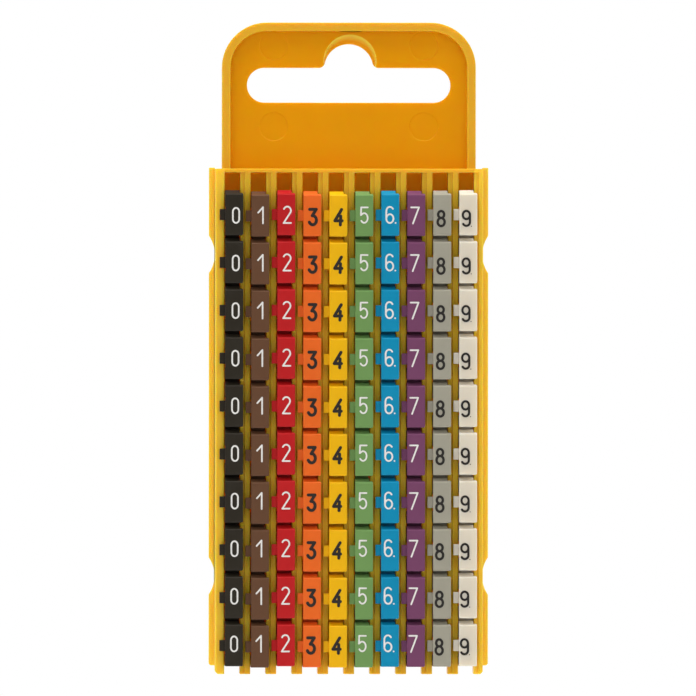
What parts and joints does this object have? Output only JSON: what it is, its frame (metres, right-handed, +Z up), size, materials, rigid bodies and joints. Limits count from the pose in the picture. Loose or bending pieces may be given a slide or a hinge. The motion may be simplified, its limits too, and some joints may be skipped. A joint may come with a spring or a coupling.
{
  "type": "cable marker set in a hanging tray",
  "caption": "Flat hanging tray with ribbed channels that hold strips of clip-on cable markers, each strip numbered with one digit and moulded in its own colour.",
  "frame": {"origin": "crown of the bump in the hanging slot, on the plane of the tray's back", "axes": "+Z up along the channels towards the hanger, +Y out of the tray's back, -Y out of the markers' faces"},
  "size_m": [0.0442, 0.0064, 0.1028],
  "materials": {
    "tray_plastic": "moulded, satin, slightly translucent",
    "strip_black": "moulded, satin",
    "strip_brown": "moulded, satin",
    "strip_red": "moulded, satin",
    "strip_orange": "moulded, satin",
    "strip_yellow": "moulded, satin",
    "strip_green": "moulded, satin",
    "strip_blue": "moulded, satin",
    "strip_violet": "moulded, satin",
    "strip_grey": "moulded, satin",
    "strip_white": "moulded, satin",
    "print_white": "printed ink",
    "print_black": "printed ink"
  },
  "bodies": {
    "root": {"tray": "tray_plastic", "marker_strip_0": "strip_black", "marker_strip_1": "strip_brown", "marker_strip_2": "strip_red", "marker_strip_3": "strip_orange", "marker_strip_4": "strip_yellow", "marker_strip_5": "strip_green", "marker_strip_6": "strip_blue", "marker_strip_7": "strip_violet", "marker_strip_8": "strip_grey", "marker_strip_9": "strip_white"}
  },
  "joints": []
}
